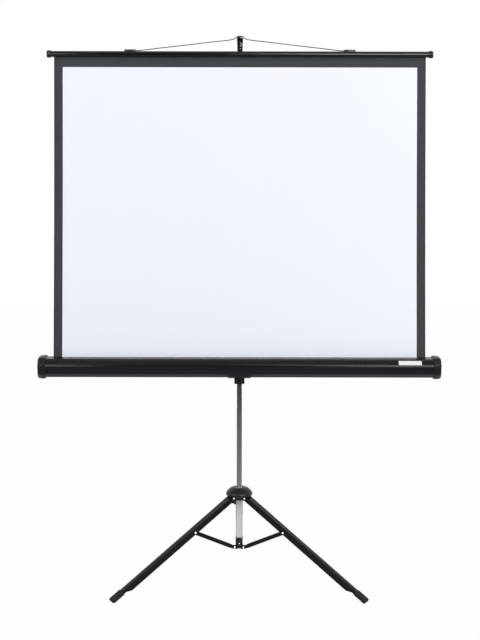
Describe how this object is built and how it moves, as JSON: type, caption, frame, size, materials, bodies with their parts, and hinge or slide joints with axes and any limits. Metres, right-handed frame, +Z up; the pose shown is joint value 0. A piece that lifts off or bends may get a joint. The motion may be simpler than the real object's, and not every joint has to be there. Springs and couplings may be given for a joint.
{
  "type": "tripod projection screen",
  "caption": "Pull-up projection screen on a folding tripod: white fabric with black borders, long black roller case, top bar hung by a wire from a telescopic mast.",
  "frame": {"origin": "on the floor, at the middle of the footprint box of the standing screen", "axes": "+Z up along the mast, +X to the viewer's right, -Y towards the audience that sees the white side"},
  "size_m": [1.6126, 0.8724, 2.2237],
  "materials": {
    "zinc_steel": "zinc-plated steel, satin with faint drawn lines",
    "bright_steel": "bright plated rivets, pins and screws",
    "spring_steel": "dark spring steel",
    "black_plastic": "moulded black plastic, fine grain",
    "black_case": "satin black paint on folded sheet metal",
    "black_leg": "satin black paint on folded steel",
    "black_bar": "gloss black paint on steel tube and wire",
    "foot_rubber": "black rubber, matt",
    "screen_cloth": "matt white projection cloth with black borders",
    "label_paper": "blank white sticker"
  },
  "bodies": {
    "mast": {"mast_tube": "zinc_steel", "foot_collar": "black_plastic", "collar_rivet": "bright_steel", "mast_guide": "black_plastic"},
    "release_button": {"extension_button": "black_plastic"},
    "middle_stage": {"middle_tube": "zinc_steel", "middle_guide": "black_plastic"},
    "extension": {"extension_tube": "zinc_steel", "extension_cap": "black_plastic", "wire_hook": "black_bar", "hook_screw_lower": "bright_steel", "hook_screw_upper": "bright_steel"},
    "hub": {"hub_body": "black_plastic", "hub_dome": "black_plastic", "leg_pin_left": "bright_steel", "leg_pin_right": "bright_steel", "leg_pin_rear": "bright_steel"},
    "hub_knob": {"hub_clamp_knob": "black_plastic"},
    "carriage": {"carriage": "black_plastic"},
    "carriage_knob": {"carriage_clamp_knob": "black_plastic"},
    "case": {"case_shell": "black_case", "end_cap_left": "black_plastic", "end_cap_right": "black_plastic", "blank_label": "label_paper", "case_saddle": "black_case", "saddle_screw_left": "bright_steel", "saddle_screw_right": "bright_steel", "pivot_pin": "bright_steel", "spring_axle": "zinc_steel", "idler_axle": "zinc_steel", "screen_fabric": "screen_cloth"},
    "roller": {"roller_tube": "zinc_steel", "wound_fabric": "screen_cloth", "roller_plug_left": "black_plastic", "roller_plug_right": "black_plastic", "torsion_spring": "spring_steel"},
    "bar": {"top_bar": "black_bar", "bar_cap_left": "black_plastic", "bar_cap_right": "black_plastic", "wire_clip_left": "black_plastic", "wire_clip_right": "black_plastic", "hanging_wire": "black_bar"},
    "leg_left": {"leg_channel_left": "black_leg", "rubber_foot_left": "foot_rubber", "leg_brace_rivet_left": "bright_steel"},
    "brace_left": {"brace_left": "black_leg", "brace_collar_rivet_left": "bright_steel"},
    "leg_right": {"leg_channel_right": "black_leg", "rubber_foot_right": "foot_rubber", "leg_brace_rivet_right": "bright_steel"},
    "brace_right": {"brace_right": "black_leg", "brace_collar_rivet_right": "bright_steel"},
    "leg_rear": {"leg_channel_rear": "black_leg", "rubber_foot_rear": "foot_rubber", "leg_brace_rivet_rear": "bright_steel"},
    "brace_rear": {"brace_rear": "black_leg", "brace_collar_rivet_rear": "bright_steel"}
  },
  "joints": [
    {"name": "tripod_fold", "type": "slide", "parent": "mast", "child": "hub", "axis": [0, 0, 1], "range_m": [0, 0.205]},
    {"name": "carriage_slide", "type": "slide", "parent": "mast", "child": "carriage", "axis": [0, 0, 1], "range_m": [-0.2, 0]},
    {"name": "case_turn", "type": "hinge", "parent": "carriage", "child": "case", "pos_m": [0, -0.13646, 0.885], "axis": [0, 1, 0], "range_deg": [0, 55]},
    {"name": "bar_slide", "type": "slide", "parent": "case", "child": "bar", "axis": [0, 0, 1], "range_m": [-1.195, 0], "deforming": ["screen_fabric"]},
    {"name": "middle_slide", "type": "slide", "parent": "mast", "child": "middle_stage", "axis": [0, 0, 1], "range_m": [-0.5975, 0]},
    {"name": "extension_slide", "type": "slide", "parent": "middle_stage", "child": "extension", "axis": [0, 0, 1], "range_m": [-0.5975, 0]},
    {"name": "roller_spin", "type": "hinge", "parent": "case", "child": "roller", "pos_m": [0, -0.23946, 0.886], "axis": [1, 0, 0], "range_deg": [-3269, 0]},
    {"name": "button_press", "type": "slide", "parent": "mast", "child": "release_button", "axis": [0, -1, 0], "range_m": [0, 0.003], "stiffness_N_per_m": 1500, "springref_m": -0.001},
    {"name": "hub_knob_turn", "type": "hinge", "parent": "hub", "child": "hub_knob", "pos_m": [-0.01758, -0.12631, 0.3176], "axis": [-0.866, 0.5, 0], "range_deg": [0, 180]},
    {"name": "carriage_knob_turn", "type": "hinge", "parent": "carriage", "child": "carriage_knob", "pos_m": [0, -0.11416, 0.853], "axis": [0, 1, 0], "range_deg": [0, 180]},
    {"name": "leg_hinge_left", "type": "hinge", "parent": "hub", "child": "leg_left", "pos_m": [-0.02944, -0.15346, 0.3416], "axis": [0.5, -0.866, 0], "range_deg": [0, 48.16]},
    {"name": "brace_hinge_left", "type": "hinge", "parent": "leg_left", "child": "brace_left", "pos_m": [-0.18094, -0.24093, 0.22316], "axis": [0.5, -0.866, 0], "range_deg": [-102.53, 0]},
    {"name": "leg_hinge_right", "type": "hinge", "parent": "hub", "child": "leg_right", "pos_m": [0.02944, -0.15346, 0.3416], "axis": [0.5, 0.866, 0], "range_deg": [0, 48.16]},
    {"name": "brace_hinge_right", "type": "hinge", "parent": "leg_right", "child": "brace_right", "pos_m": [0.18094, -0.24093, 0.22316], "axis": [0.5, 0.866, 0], "range_deg": [-102.53, 0]},
    {"name": "leg_hinge_rear", "type": "hinge", "parent": "hub", "child": "leg_rear", "pos_m": [0, -0.10246, 0.3416], "axis": [-1, 0, 0], "range_deg": [0, 48.16]},
    {"name": "brace_hinge_rear", "type": "hinge", "parent": "leg_rear", "child": "brace_rear", "pos_m": [0, 0.07247, 0.22316], "axis": [-1, 0, 0], "range_deg": [-102.53, 0]}
  ],
  "couplings": [
    {"joint": "middle_slide", "follows": "bar_slide", "ratio": 0.5},
    {"joint": "extension_slide", "follows": "bar_slide", "ratio": 0.5},
    {"joint": "roller_spin", "follows": "bar_slide", "rad_per_m": 47.733},
    {"joint": "leg_hinge_left", "follows": "tripod_fold", "rad_per_m": 4.1},
    {"joint": "brace_hinge_left", "follows": "tripod_fold", "rad_per_m": -8.7285},
    {"joint": "leg_hinge_right", "follows": "tripod_fold", "rad_per_m": 4.1},
    {"joint": "brace_hinge_right", "follows": "tripod_fold", "rad_per_m": -8.7285},
    {"joint": "leg_hinge_rear", "follows": "tripod_fold", "rad_per_m": 4.1},
    {"joint": "brace_hinge_rear", "follows": "tripod_fold", "rad_per_m": -8.7285}
  ]
}
